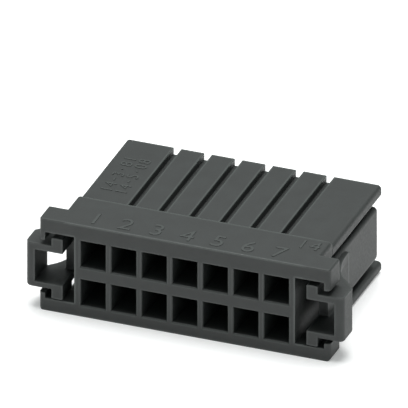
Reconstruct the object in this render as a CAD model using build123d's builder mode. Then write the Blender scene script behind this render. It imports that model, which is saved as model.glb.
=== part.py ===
from build123d import *
import os

# Housing of a 14-way plug for crimped wires, two rows of seven, moulded in one piece.
# Millimetres. X runs along the rows, Y from the wire side (front) to the mating side (rear), Z up.
# The origin is the middle of the footprint, on the underside.

# Contact grid
columns = 7
pitch = 3.81
row_pitch = 5.08

# Cavities: a wide wire entry, a narrower contact chamber and a window for the mating pin
cavity_width = 3.06
cavity_height = 3.41
mouth_chamfer = 0.14
entry_depth = 9.0
chamber_width = 2.5
chamber_height = 2.85
mating_wall = 1.3
window_size = 1.5
window_lead_in = 0.4

# Body: a core around the cavities, and two plates that reach past its side walls
depth = 22.65
end_wall = 0.8
floor_wall = 1.46
roof_wall = 1.5
plate_reach = 2.14
top_plate = 1.54
bottom_plate = 1.38
plate_rounding = 0.5

# Grooves between the columns, in the top plate
groove_width = 0.9
groove_depth = 0.9
groove_rounding = 0.1

# Deck and front flange, raised above the body
deck_rise = 0.64
deck_length = 3.69
deck_rounding = 0.2
flange_depth = 3.07
flange_reach = 4.39
flange_bar = 1.75
flange_sill = 1.6
flange_rounding = 0.25
flange_corner = 0.5
flange_foot_rounding = 0.45

# Stop nibs at the open ends of the flange's pockets
nib_width = 0.75
upper_nib = 1.05
lower_nib = 0.68

# Latch arms beside the core: a thick neck behind the button, then a thin blade down to the root
latch_gap = 1.45
neck_thickness = 1.1
neck_front = 4.1
neck_end = 11.0
blade_thickness = 0.6
blade_above = 3.45
blade_below = 3.15
blade_front = 8.0
blade_end_gap = 1.2
blade_corner = 0.4
blade_shoulder = 0.5
root_thickness = 1.3
root_fillet = 0.5

# Latch buttons: two webs and an outer wall, with a hook on each web
button_reach = 6.06
button_height = 5.9
button_wall = 1.15
button_wall_depth = 3.0
button_web = 0.85
button_rounding = 0.6
button_back_rounding = 0.4
button_foot_rounding = 0.35
web_slope_end = 4.7
web_blend = 1.0
web_taper = 3.0
web_end = 10.7
opening_fillet = 0.3
hook_width = 1.38
hook_height = 8.0
hook_rounding = 0.12

# Worked out from the sizes above
front = -depth / 2
rear = depth / 2
half_core = (columns - 1) / 2 * pitch + cavity_width / 2 + end_wall
half_plate = half_core + plate_reach
half_flange = half_core + flange_reach
lower_row = floor_wall + cavity_height / 2
upper_row = lower_row + row_pitch
latch_middle = (lower_row + upper_row) / 2
body_top = upper_row + cavity_height / 2 + roof_wall
flange_top = body_top + deck_rise
flange_back = front + flange_depth
deck_back = flange_back + deck_length
pocket_roof = flange_top - flange_bar
arm_inner = half_core + latch_gap
neck_outer = arm_inner + neck_thickness
blade_outer = arm_inner + blade_thickness
blade_end = rear - blade_end_gap
root_front = blade_end - root_thickness
button_outer = half_core + button_reach
button_inner = button_outer - button_wall
opening_height = button_height - 2 * button_web


def beam(top):
    """Outline across the body: the core and its two overhanging plates, up to the height given."""
    upper_plate = top - body_top + top_plate
    with BuildSketch() as outline:
        with Locations((0, top / 2)):
            Rectangle(2 * half_core, top)
        with Locations((0, bottom_plate / 2)):
            RectangleRounded(2 * half_plate, bottom_plate, plate_rounding)
        with Locations((0, top - upper_plate / 2)):
            RectangleRounded(2 * half_plate, upper_plate, plate_rounding)
    return outline.sketch


with BuildPart() as opening:
    # Space between a button's webs, in front of the neck and beside it
    with BuildSketch(Plane.XY.offset(latch_middle - opening_height / 2)):
        for inner, length in ((arm_inner, neck_front), (neck_outer, web_end)):
            with Locations(((inner + button_inner) / 2, front + length / 2)):
                Rectangle(button_inner - inner, length)
    extrude(amount=opening_height)
    at_neck_face = opening.edges().filter_by(Axis.X).group_by(Axis.Y)[1]
    at_neck_side = opening.edges().filter_by(Axis.Y).group_by(Axis.X)[1]
    fillet(at_neck_face + at_neck_side, opening_fillet)

with BuildPart() as latch:
    # Blade, with the root that joins it to the core's side wall
    with BuildSketch(Plane.XY.offset(latch_middle - blade_below)) as blade_plan:
        with Locations(((arm_inner + blade_outer) / 2, (front + blade_front + blade_end) / 2)):
            Rectangle(blade_thickness, blade_end - front - blade_front)
        with Locations((half_core + latch_gap / 2, (root_front + blade_end) / 2)):
            Rectangle(latch_gap, root_thickness)
        with Locations((half_core - end_wall / 4, root_front)):
            Rectangle(end_wall / 2, 2 * root_thickness)
        for wall in (half_core, arm_inner):
            fillet(blade_plan.vertices().sort_by_distance((wall, root_front))[0], root_fillet)
    extrude(amount=blade_below + blade_above)
    rear_foot = latch.faces().sort_by(Axis.Y)[-1].edges().filter_by(Axis.X).sort_by(Axis.Z)[0]
    fillet(rear_foot, blade_corner)
    shoulder = latch.edges().filter_by(Axis.Y).group_by(Axis.X)[-1].sort_by(Axis.Z)[-1]
    fillet(shoulder, blade_shoulder)

    # Neck and button, whose webs taper into the neck
    with BuildSketch(Plane.XY.offset(latch_middle - button_height / 2)) as button_plan:
        wall_end = Vector(button_outer, front + button_wall_depth)
        slope_end = Vector(button_outer + button_wall_depth - web_slope_end, front + web_slope_end)
        slope = Vector(-1, 1) * web_blend
        taper_end = Vector(neck_outer, front + web_end)
        with BuildLine():
            Polyline(taper_end, (neck_outer, front + neck_end), (arm_inner, front + neck_end),
                     (arm_inner, front), (button_outer, front), wall_end, slope_end)
            Bezier(slope_end, slope_end + slope, taper_end - Vector(0, web_taper), taper_end)
        make_face()
        fillet(button_plan.vertices().sort_by_distance((button_outer, front))[0], button_rounding)
        fillet(button_plan.vertices().sort_by_distance(wall_end)[0], button_back_rounding)
    extrude(amount=button_height)
    foot = latch.edges().filter_by(Axis.Y).group_by(Axis.X)[-1].sort_by(Axis.Z)[0]
    fillet(foot, button_foot_rounding)

    # Hooks on the webs
    with BuildSketch(Plane.XZ.offset(-front)) as hooks:
        with Locations((arm_inner + hook_width / 2, latch_middle)):
            Rectangle(hook_width, hook_height)
        fillet(hooks.vertices(), hook_rounding)
    extrude(amount=-flange_depth)
    add(opening.part, mode=Mode.SUBTRACT)

with BuildPart() as housing:
    # Flange: what its outlines from the front, from above and from the side have in common
    with BuildSketch(Plane.XZ.offset(-front)) as flange_face:
        with Locations((0, flange_top / 2)):
            Rectangle(2 * half_flange, flange_top)
        fillet(flange_face.vertices().group_by(Axis.Y)[0], flange_foot_rounding)
        fillet(flange_face.vertices().group_by(Axis.Y)[-1], flange_rounding)
    extrude(amount=-flange_depth)
    with BuildSketch(Plane.XY) as flange_plan:
        with Locations((0, (front + flange_back) / 2)):
            Rectangle(2 * half_flange, flange_depth)
        fillet(flange_plan.vertices().group_by(Axis.Y)[0], flange_corner)
    extrude(amount=flange_top, mode=Mode.INTERSECT)
    with BuildSketch(Plane.YZ) as flange_side:
        with Locations(((front + flange_back) / 2, flange_top / 2)):
            Rectangle(flange_depth, flange_top)
        fillet(flange_side.vertices().sort_by_distance((front, flange_top))[0], flange_rounding)
    extrude(amount=half_flange, both=True, mode=Mode.INTERSECT)

    # Pockets in the flange's ends, open outward between the stop nibs
    with BuildSketch(Plane.XZ.offset(-front)) as pockets:
        with Locations(((half_core + half_flange) / 2, (flange_sill + pocket_roof) / 2)):
            Rectangle(flange_reach, pocket_roof - flange_sill)
        with Locations((half_flange, pocket_roof)):
            Rectangle(2 * nib_width, 2 * upper_nib, mode=Mode.SUBTRACT)
        with Locations((half_flange, flange_sill)):
            Rectangle(2 * nib_width, 2 * lower_nib, mode=Mode.SUBTRACT)
        mirror(about=Plane.YZ)
    extrude(amount=-flange_depth, mode=Mode.SUBTRACT)

    # Deck
    with BuildSketch(Plane.XZ.offset(-flange_back)):
        add(beam(flange_top))
    extrude(amount=-deck_length)
    deck_edge = housing.faces().sort_by(Axis.Y)[-1].edges().sort_by(Axis.Z)[-1]
    fillet(deck_edge, deck_rounding)

    # Body, grooved along the top
    with BuildSketch(Plane.XZ.offset(-deck_back)) as body_face:
        add(beam(body_top))
        with Locations((0, body_top)):
            with GridLocations(pitch, 0, columns - 1, 1):
                Rectangle(groove_width, 2 * groove_depth, mode=Mode.SUBTRACT)
        groove_edges = body_face.vertices().group_by(Axis.Y)[-1]
        inside = half_plate - 2 * plate_rounding
        fillet(groove_edges.filter_by_position(Axis.X, -inside, inside), groove_rounding)
    extrude(amount=deck_back - rear)

    # Latches on both sides
    add(latch.part)
    mirror(latch.part, about=Plane.YZ)

    # Cavities: entry, chamber and pin window, each narrower than the one before
    sections = (
        (0, entry_depth, cavity_width, cavity_height),
        (entry_depth, depth - mating_wall, chamber_width, chamber_height),
        (depth - mating_wall, depth, window_size, window_size),
    )
    for start, end, width, height in sections:
        with BuildSketch(Plane.XZ.offset(-front - start)):
            with Locations((0, latch_middle)):
                with GridLocations(pitch, row_pitch, columns, 2):
                    Rectangle(width, height)
        extrude(amount=start - end, mode=Mode.SUBTRACT)
    end_faces = housing.faces().filter_by(Axis.Y).group_by(Axis.Y)
    chamfer(end_faces[0].sort_by(SortBy.AREA)[-1].inner_wires().edges(), mouth_chamfer)
    end_faces = housing.faces().filter_by(Axis.Y).group_by(Axis.Y)
    chamfer(end_faces[-1].sort_by(SortBy.AREA)[-1].inner_wires().edges(), window_lead_in)

housing.part.label = "housing"
os.makedirs("parts", exist_ok=True)
export_step(housing.part, "parts/housing.step")
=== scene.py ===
import math

import bpy
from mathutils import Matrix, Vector


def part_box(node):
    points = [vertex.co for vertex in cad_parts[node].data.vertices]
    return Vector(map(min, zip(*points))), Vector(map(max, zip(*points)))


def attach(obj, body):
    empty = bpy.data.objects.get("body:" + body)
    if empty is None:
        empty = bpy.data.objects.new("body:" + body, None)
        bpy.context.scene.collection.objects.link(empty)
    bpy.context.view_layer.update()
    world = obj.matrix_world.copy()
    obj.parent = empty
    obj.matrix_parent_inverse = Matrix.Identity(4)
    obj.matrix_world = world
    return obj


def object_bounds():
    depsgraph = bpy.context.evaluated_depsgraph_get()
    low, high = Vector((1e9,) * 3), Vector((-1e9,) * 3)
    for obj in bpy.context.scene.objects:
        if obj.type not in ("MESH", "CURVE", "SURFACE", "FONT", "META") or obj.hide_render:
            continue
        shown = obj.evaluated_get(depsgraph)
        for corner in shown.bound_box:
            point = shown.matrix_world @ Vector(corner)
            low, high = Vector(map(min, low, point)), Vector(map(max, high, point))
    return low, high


# A plug housing for crimped wires, in glass-filled polyester, standing on a white table.
# Metres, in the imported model's frame: X along the rows, Y from wire side to mating side, Z up.
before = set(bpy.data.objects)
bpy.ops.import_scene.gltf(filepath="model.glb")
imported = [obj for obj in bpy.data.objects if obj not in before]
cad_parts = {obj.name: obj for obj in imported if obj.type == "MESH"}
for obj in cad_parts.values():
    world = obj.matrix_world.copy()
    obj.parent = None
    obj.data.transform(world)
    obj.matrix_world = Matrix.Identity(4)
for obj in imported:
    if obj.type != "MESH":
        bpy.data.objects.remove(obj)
cad_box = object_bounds()
MM = 0.001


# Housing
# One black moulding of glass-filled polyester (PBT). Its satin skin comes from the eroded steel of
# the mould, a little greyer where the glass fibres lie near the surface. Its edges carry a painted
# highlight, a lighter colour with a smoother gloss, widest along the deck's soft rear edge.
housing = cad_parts["housing"]
MOULDED_COLOUR = "#1E2120"
FIBRE_COLOUR = "#252928"
FEWEST_FIBRES = 0.12        # product of the flow marks and fibres where the colour is the moulded one
MOST_FIBRES = 0.40          # the same where it is the fibres' own
PBT_IOR = 1.57
SATIN_ROUGHNESS = 0.58
ROUGHNESS_SPREAD = 0.10
SMOOTHEST_FIBRE = 0.3       # values of the fibre pattern at the two ends of that spread
ROUGHEST_FIBRE = 0.7
FLOW_MARK_SIZE = 2.4 * MM
FLOW_MARK_DETAIL = 3.0
FIBRE_SIZE = 0.35 * MM
FIBRE_DETAIL = 2.0
GRAIN_SIZE = 0.16 * MM      # the real grain is about 0.04 mm; this is the finest that shows
GRAIN_DETAIL = 2.0
GRAIN_HEIGHT = 0.004 * MM
# Painted highlight: convex edges are coloured lighter to stand in for the light they catch, and their
# roughness is lower
EDGE_HIGHLIGHT_COLOUR = "#454A48"
RUBBED_ROUGHNESS = 0.34
EDGE_HIGHLIGHT_WIDTH = 0.32 * MM    # how far from an edge the painted highlight and the smoother gloss reach
PLAIN_SKIN = 0.98           # openness of the plastic under a flat skin, where there is no painted highlight
SHARP_EDGE = 0.60           # the same at an edge, where the painted highlight is full
BROKEN_EDGE = 0.10 * MM     # radius that moulding leaves on every sharp edge
HANDLED_EDGE = 0.16 * MM    # the same on the latches and the flange's ends, which fingers press
HANDLED_HIGHLIGHT = 0.4         # how much of the painted highlight and smoother gloss those rounder edges keep
LATCH_START = 14.5 * MM     # from the middle to where the handled ends start
LATCH_BLEND = 0.8 * MM
DECK_DEPTH = 6.76 * MM      # from the front to the deck's rear edge
DECK_EDGE_REACH = 0.9 * MM  # how far from that edge its wider painted highlight and rounding fade out
DECK_EDGE = 0.45 * MM       # its radius, and how far from it the painted highlight reaches
DECK_HIGHLIGHT_WIDTH = 0.75 * MM
WEAR_SAMPLES = 12           # rays from each point that feel for an edge, for the painted highlight and for the rounding
ROUNDING_SAMPLES = 8


def linear(srgb):
    """A hex colour as linear red, green, blue and alpha, by the curve of the sRGB standard."""
    parts = [int(srgb[i:i + 2], 16) / 255 for i in (1, 3, 5)]
    return [c / 12.92 if c <= 0.04045 else ((c + 0.055) / 1.055) ** 2.4 for c in parts] + [1.0]


def add_node(tree, kind, settings=None, **sockets):
    """A new node with its settings. Inputs are set or linked by name, or by number as _0, _1."""
    node = tree.nodes.new(kind)
    for name, value in (settings or {}).items():
        setattr(node, name, value)
    for name, value in sockets.items():
        socket = node.inputs[int(name[1:]) if name[1:].isdigit() else name.replace("_", " ")]
        if isinstance(value, bpy.types.NodeSocket):
            tree.links.new(value, socket)
        else:
            socket.default_value = value
    return node


pbt = bpy.data.materials.new("pbt_moulded_satin_black")
pbt.use_nodes = True
skin = pbt.node_tree
skin.nodes.clear()
place = add_node(skin, "ShaderNodeTexCoord").outputs["Object"]
flow = add_node(skin, "ShaderNodeTexNoise", Vector=place, Scale=1 / FLOW_MARK_SIZE,
                Detail=FLOW_MARK_DETAIL)
fibres = add_node(skin, "ShaderNodeTexNoise", Vector=place, Scale=1 / FIBRE_SIZE,
                  Detail=FIBRE_DETAIL)
grain = add_node(skin, "ShaderNodeTexNoise", Vector=place, Scale=1 / GRAIN_SIZE,
                 Detail=GRAIN_DETAIL)
clouds = add_node(skin, "ShaderNodeMath", {"operation": "MULTIPLY"},
                  _0=flow.outputs["Fac"], _1=fibres.outputs["Fac"])
shade = add_node(skin, "ShaderNodeMapRange", Value=clouds.outputs["Value"],
                 From_Min=FEWEST_FIBRES, From_Max=MOST_FIBRES)
colour = add_node(skin, "ShaderNodeMix", {"data_type": "RGBA"}, Factor=shade.outputs["Result"],
                  _6=linear(MOULDED_COLOUR), _7=linear(FIBRE_COLOUR))
gloss = add_node(skin, "ShaderNodeMapRange", Value=fibres.outputs["Fac"],
                 From_Min=SMOOTHEST_FIBRE, From_Max=ROUGHEST_FIBRE,
                 To_Min=SATIN_ROUGHNESS - ROUGHNESS_SPREAD / 2,
                 To_Max=SATIN_ROUGHNESS + ROUGHNESS_SPREAD / 2)

# Painted edge highlight, edge gloss and rounding, by how far a point is from the middle and the deck's
# rear edge
split = add_node(skin, "ShaderNodeSeparateXYZ", Vector=place).outputs
from_middle = add_node(skin, "ShaderNodeMath", {"operation": "ABSOLUTE"}, _0=split["X"])
past_deck = add_node(skin, "ShaderNodeMath", {"operation": "SUBTRACT"},
                     _0=split["Y"], _1=cad_box[0].y + DECK_DEPTH)
from_deck = add_node(skin, "ShaderNodeMath", {"operation": "ABSOLUTE"}, _0=past_deck.outputs["Value"])
highlight_width = add_node(skin, "ShaderNodeMapRange", Value=from_deck.outputs["Value"],
                        From_Max=DECK_EDGE_REACH, To_Min=DECK_HIGHLIGHT_WIDTH, To_Max=EDGE_HIGHLIGHT_WIDTH)
deck_radius = add_node(skin, "ShaderNodeMapRange", Value=from_deck.outputs["Value"],
                       From_Max=DECK_EDGE_REACH, To_Min=DECK_EDGE, To_Max=BROKEN_EDGE)
inside = add_node(skin, "ShaderNodeAmbientOcclusion",
                  {"samples": WEAR_SAMPLES, "inside": True, "only_local": True},
                  Distance=highlight_width.outputs["Result"])
latch_radius = add_node(skin, "ShaderNodeMapRange", Value=from_middle.outputs["Value"],
                        From_Min=LATCH_START, From_Max=LATCH_START + LATCH_BLEND,
                        To_Min=BROKEN_EDGE, To_Max=HANDLED_EDGE)
kept_highlight = add_node(skin, "ShaderNodeMapRange", Value=from_middle.outputs["Value"],
                      From_Min=LATCH_START, From_Max=LATCH_START + LATCH_BLEND,
                      To_Min=1.0, To_Max=HANDLED_HIGHLIGHT)
near_edge = add_node(skin, "ShaderNodeMapRange", Value=inside.outputs["AO"],
                     From_Min=PLAIN_SKIN, From_Max=SHARP_EDGE)
highlight_and_polish = add_node(skin, "ShaderNodeMath", {"operation": "MULTIPLY"},
                  _0=near_edge.outputs["Result"], _1=kept_highlight.outputs["Result"])
# painted highlight: the skin's colour goes lighter towards every convex edge
painted_highlight = add_node(skin, "ShaderNodeMix", {"data_type": "RGBA"}, Factor=highlight_and_polish.outputs["Value"],
                _6=colour.outputs[2], _7=linear(EDGE_HIGHLIGHT_COLOUR))
polish = add_node(skin, "ShaderNodeMix", Factor=highlight_and_polish.outputs["Value"],
                  _2=gloss.outputs["Result"], _3=RUBBED_ROUGHNESS)
radius = add_node(skin, "ShaderNodeMath", {"operation": "MAXIMUM"},
                  _0=latch_radius.outputs["Result"], _1=deck_radius.outputs["Result"])
rounded = add_node(skin, "ShaderNodeBevel", {"samples": ROUNDING_SAMPLES},
                   Radius=radius.outputs["Value"])
bump = add_node(skin, "ShaderNodeBump", Strength=1.0, Distance=GRAIN_HEIGHT,
                Height=grain.outputs["Fac"], Normal=rounded.outputs["Normal"])
plastic = add_node(skin, "ShaderNodeBsdfPrincipled", Base_Color=painted_highlight.outputs[2],
                   Roughness=polish.outputs[0], IOR=PBT_IOR, Normal=bump.outputs["Normal"])
add_node(skin, "ShaderNodeOutputMaterial", Surface=plastic.outputs["BSDF"])
for slot in housing.material_slots:
    slot.material = pbt


# Numbers
# Low raised figures on the flange, one over each column, the last cavity's number on the deck, and
# the count of cavities and their spacings on the left plate. They are cut into the mould, so they
# are of one piece with the housing and in its plastic.
COLUMNS = 7
CAVITIES = 2 * COLUMNS
PITCH = 3.81 * MM
ROW_PITCH = 5.08 * MM
FLANGE_FIGURE = 3.6 * MM    # sizes of the type; a figure is 0.7 of it tall
DECK_FIGURE = 2.8 * MM
PLATE_FIGURE = 2.1 * MM
FIGURE_RELIEF = 0.06 * MM
FIGURE_ROOT = 0.02 * MM     # how far the figures' feet go into the surface
WELD_DISTANCE = 0.001 * MM
FIGURE_HIGHLIGHT_WIDTH = 0.12 * MM     # more than their relief, so their whole tops get the painted highlight
FIGURE_HIGHLIGHT = 0.40         # how much of the painted highlight and smoother gloss their tops have
COLUMN_NUMBERS_LEFT = -11.8 * MM    # from the middle to each number's first figure
LAST_NUMBER_LEFT = 12.9 * MM
COLUMN_SPACING_LEFT = -13.7 * MM
ROW_SPACING_LEFT = -11.9 * MM
FLANGE_LINE = 2.1 * MM      # from the front to those figures
DECK_LINE = 4.95 * MM
PLATE_LINE = 10.4 * MM
DECK_STEP = 1.55 * MM       # from one figure to the next within a number
PLATE_STEP = 1.3 * MM
DECK_RISE = 0.64 * MM       # how far the flange and the deck stand above the plates
QUARTER_TURN = math.pi / 2

# The figures' plastic paints a highlight over the whole of their tops, a lighter colour with a smoother
# gloss.
figure_plastic = pbt.copy()
figure_plastic.name = "pbt_moulded_satin_black_figures"
figure_skin = figure_plastic.node_tree.nodes
figure_inside = figure_skin[inside.name].inputs["Distance"]
figure_plastic.node_tree.links.remove(figure_inside.links[0])
figure_inside.default_value = FIGURE_HIGHLIGHT_WIDTH
figure_skin[near_edge.name].inputs["To Max"].default_value = FIGURE_HIGHLIGHT

figures = bpy.data.node_groups.new("raised_figures", "GeometryNodeTree")
figures.interface.new_socket("Geometry", in_out="OUTPUT", socket_type="NodeSocketGeometry")
figure_inputs = {}
for name, kind in (("Figures", "String"), ("Height", "Float"), ("Relief", "Float"),
                   ("First", "Vector"), ("Step", "Vector"), ("Turn", "Vector"),
                   ("Plastic", "Material")):
    made = figures.interface.new_socket(name, in_out="INPUT", socket_type="NodeSocket" + kind)
    figure_inputs[name] = made.identifier
given = add_node(figures, "NodeGroupInput").outputs
shapes = add_node(figures, "GeometryNodeStringToCurves",
                  {"font": bpy.data.fonts.load("<builtin>"), "pivot_mode": "MIDPOINT"},
                  String=given["Figures"], Size=given["Height"])
count = add_node(figures, "GeometryNodeInputIndex").outputs["Index"]
along = add_node(figures, "ShaderNodeVectorMath", {"operation": "SCALE"},
                 _0=given["Step"], Scale=count).outputs["Vector"]
spot = add_node(figures, "ShaderNodeVectorMath", _0=along, _1=given["First"]).outputs["Vector"]
corner = add_node(figures, "ShaderNodeVectorMath", {"operation": "SUBTRACT"},
                  _0=spot, _1=shapes.outputs["Pivot Point"]).outputs["Vector"]
placed = add_node(figures, "GeometryNodeSetPosition", Geometry=shapes.outputs["Curve Instances"],
                  Position=corner).outputs["Geometry"]
turned = add_node(figures, "GeometryNodeRotateInstances", Instances=placed, Rotation=given["Turn"],
                  Pivot_Point=shapes.outputs["Pivot Point"], Local_Space=True).outputs["Instances"]
feet = add_node(figures, "GeometryNodeFillCurve", {"mode": "NGONS"}, Curve=turned).outputs["Mesh"]
raised = add_node(figures, "GeometryNodeExtrudeMesh", Mesh=feet, Offset_Scale=given["Relief"],
                  Individual=False).outputs["Mesh"]
closed = add_node(figures, "GeometryNodeFlipFaces", Mesh=feet).outputs["Mesh"]
whole = add_node(figures, "GeometryNodeJoinGeometry")
figures.links.new(raised, whole.inputs["Geometry"])
figures.links.new(closed, whole.inputs["Geometry"])
loose = add_node(figures, "GeometryNodeRealizeInstances",
                 Geometry=whole.outputs["Geometry"]).outputs["Geometry"]
welded = add_node(figures, "GeometryNodeMergeByDistance", Geometry=loose,
                  Distance=WELD_DISTANCE).outputs["Geometry"]
painted = add_node(figures, "GeometryNodeSetMaterial", Geometry=welded,
                   Material=given["Plastic"]).outputs["Geometry"]
add_node(figures, "NodeGroupOutput", Geometry=painted)

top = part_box("housing")[1].z
front_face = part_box("housing")[0].y
number_sets = (     # name, figures, type size, first place from the middle, front and top, step, turn
    ("column_numbers", "".join(str(column + 1) for column in range(COLUMNS)), FLANGE_FIGURE,
     (COLUMN_NUMBERS_LEFT, FLANGE_LINE, 0), (PITCH, 0, 0), 0),
    ("last_cavity_number", str(CAVITIES), DECK_FIGURE,
     (LAST_NUMBER_LEFT, DECK_LINE, 0), (DECK_STEP, 0, 0), 0),
    ("column_spacing", f"{CAVITIES}-{PITCH / MM:.2f}", PLATE_FIGURE,
     (COLUMN_SPACING_LEFT, PLATE_LINE, -DECK_RISE), (0, PLATE_STEP, 0), QUARTER_TURN),
    ("row_spacing", f"{CAVITIES}-{ROW_PITCH / MM:.2f}", PLATE_FIGURE,
     (ROW_SPACING_LEFT, PLATE_LINE, -DECK_RISE), (0, PLATE_STEP, 0), QUARTER_TURN),
)
for name, text, height, first, step, turn in number_sets:
    draft = bpy.data.objects.new(name + "_draft", bpy.data.meshes.new(name + "_draft"))
    bpy.context.collection.objects.link(draft)
    draft.data.materials.append(figure_plastic)
    maker = draft.modifiers.new("raised_figures", "NODES")
    maker.node_group = figures
    maker[figure_inputs["Figures"]] = text
    maker[figure_inputs["Height"]] = height
    maker[figure_inputs["Relief"]] = FIGURE_RELIEF + FIGURE_ROOT
    maker[figure_inputs["First"]] = Vector(first) + Vector((0, front_face, top - FIGURE_ROOT))
    maker[figure_inputs["Step"]] = step
    maker[figure_inputs["Turn"]] = (0, 0, turn)
    maker[figure_inputs["Plastic"]] = figure_plastic
    ready = draft.evaluated_get(bpy.context.evaluated_depsgraph_get())
    numbers = bpy.data.objects.new(name, bpy.data.meshes.new_from_object(ready))
    bpy.context.collection.objects.link(numbers)
    draft.modifiers.remove(maker)
    bpy.data.objects.remove(draft)
    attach(numbers, "root")


# Table
# A white laminate sheet that runs out of sight on all sides. The camera sees it as plain white,
# and so do reflections, but it keeps the soft shadow that the plug stands in.
TABLE_SIZE = 3.0
TABLE_GAP = 0.01 * MM       # between the sheet and the plug's underside
TABLE_COLOUR = "#EDEDED"
PLAIN_WHITE = "#FFFFFF"
TABLE_LIFT = 0.24           # light added for the camera, which takes the sheet to white


def seen_rays(tree):
    """A socket of 1 for what the camera sees, also in gloss or through glass, and 0 for other light."""
    ray = add_node(tree, "ShaderNodeLightPath")
    seen = add_node(tree, "ShaderNodeMath", {"operation": "ADD", "use_clamp": True},
                    _0=ray.outputs["Is Camera Ray"], _1=ray.outputs["Is Glossy Ray"])
    seen_through = add_node(tree, "ShaderNodeMath", {"operation": "ADD", "use_clamp": True},
                            _0=seen.outputs["Value"], _1=ray.outputs["Is Transmission Ray"])
    return seen_through.outputs["Value"]


bpy.ops.mesh.primitive_plane_add(size=TABLE_SIZE, location=(0, 0, cad_box[0].z - TABLE_GAP))
table = bpy.context.object
table.name = "table"
laminate = bpy.data.materials.new("laminate_white")
laminate.use_nodes = True
sheet = laminate.node_tree
sheet.nodes.clear()
matt = add_node(sheet, "ShaderNodeBsdfDiffuse", Color=linear(TABLE_COLOUR))
lift = add_node(sheet, "ShaderNodeMath", {"operation": "MULTIPLY"}, _0=seen_rays(sheet), _1=TABLE_LIFT)
glow = add_node(sheet, "ShaderNodeEmission", Color=linear(PLAIN_WHITE), Strength=lift.outputs["Value"])
both = add_node(sheet, "ShaderNodeAddShader", _0=matt.outputs["BSDF"], _1=glow.outputs["Emission"])
add_node(sheet, "ShaderNodeOutputMaterial", Surface=both.outputs["Shader"])
table.data.materials.append(laminate)


# Room and lamps
# A photographer's light tent of white cloth, brightest low down at the back on the left. One wide
# soft lamp hangs almost straight above, so the shadow round the plug is short and soft. A low view
# that looks in under the table's plane sees plain white there.
TENT_COLOUR = "#F7FFFD"
TENT_BRIGHT = 0.52
TENT_DARK = 0.39
BRIGHT_SIDE = Vector((-0.62, 0.70, 0.25)).normalized()
DARK_UP_TO = 0.10           # both as the cosine of the angle from the bright side
BRIGHT_FROM = 0.80
HORIZON = 0.0               # upward part of a direction along the table
LAMP_PLACE = Vector((-0.02, 0.065, 0.60))
LAMP_SIZE = 0.48
LAMP_POWER = 4.4

room = bpy.data.worlds.new("light_tent")
bpy.context.scene.world = room
room.use_nodes = True
tent = room.node_tree
tent.nodes.clear()
direction = add_node(tent, "ShaderNodeTexCoord").outputs["Generated"]
nearness = add_node(tent, "ShaderNodeVectorMath", {"operation": "DOT_PRODUCT"},
                    _0=direction, _1=BRIGHT_SIDE)
level = add_node(tent, "ShaderNodeMapRange", {"interpolation_type": "SMOOTHSTEP"},
                 Value=nearness.outputs["Value"], From_Min=DARK_UP_TO, From_Max=BRIGHT_FROM,
                 To_Min=TENT_DARK, To_Max=TENT_BRIGHT)
cloth = add_node(tent, "ShaderNodeBackground", Color=linear(TENT_COLOUR), Strength=level.outputs["Result"])
rise = add_node(tent, "ShaderNodeSeparateXYZ", Vector=direction).outputs["Z"]
below = add_node(tent, "ShaderNodeMath", {"operation": "LESS_THAN"}, _0=rise, _1=HORIZON)
under_table = add_node(tent, "ShaderNodeMath", {"operation": "MULTIPLY"},
                       _0=below.outputs["Value"], _1=seen_rays(tent))
white = add_node(tent, "ShaderNodeBackground", Color=linear(PLAIN_WHITE), Strength=1.0)
walls = add_node(tent, "ShaderNodeMixShader", _0=under_table.outputs["Value"],
                 _1=cloth.outputs["Background"], _2=white.outputs["Background"])
add_node(tent, "ShaderNodeOutputWorld", Surface=walls.outputs["Shader"])

soft_box = bpy.data.lights.new("soft_box", "AREA")
soft_box.shape = "DISK"
soft_box.size = LAMP_SIZE
soft_box.energy = LAMP_POWER
soft_lamp = bpy.data.objects.new("soft_box", soft_box)
bpy.context.collection.objects.link(soft_lamp)
soft_lamp.location = LAMP_PLACE
soft_lamp.rotation_euler = (-LAMP_PLACE).to_track_quat("-Z", "Y").to_euler()


# Camera
# A long lens, so far away that lines along one axis stay parallel. It stands in front, to the right
# and above, and is aimed from the middle of the flange's front, at the height of the upper row.
AZIMUTH = math.radians(20.92)
ELEVATION = math.radians(28.6)
VIEW_WIDTH = 47.524 * MM
CAMERA_DISTANCE = 0.5
SEEN_FROM = 0.01            # distances from the camera between which it sees
SEEN_UP_TO = 10.0
UPPER_ROW = 8.245 * MM
AIM_RIGHT = 2.274 * MM
AIM_UP = 8.071 * MM

right = Vector((math.cos(AZIMUTH), math.sin(AZIMUTH), 0))
back = Vector((math.sin(AZIMUTH) * math.cos(ELEVATION), -math.cos(AZIMUTH) * math.cos(ELEVATION),
               math.sin(ELEVATION)))
up = back.cross(right)
lens = bpy.data.cameras.new("camera")
lens.type = "ORTHO"
lens.ortho_scale = VIEW_WIDTH
lens.clip_start = SEEN_FROM
lens.clip_end = SEEN_UP_TO
camera = bpy.data.objects.new("camera", lens)
bpy.context.collection.objects.link(camera)
aim = Vector((0, cad_box[0].y, UPPER_ROW)) + AIM_RIGHT * right + AIM_UP * up
camera.location = aim + CAMERA_DISTANCE * back
camera.rotation_euler = back.to_track_quat("Z", "Y").to_euler()
bpy.context.scene.camera = camera
bpy.context.scene.view_settings.view_transform = "Standard"
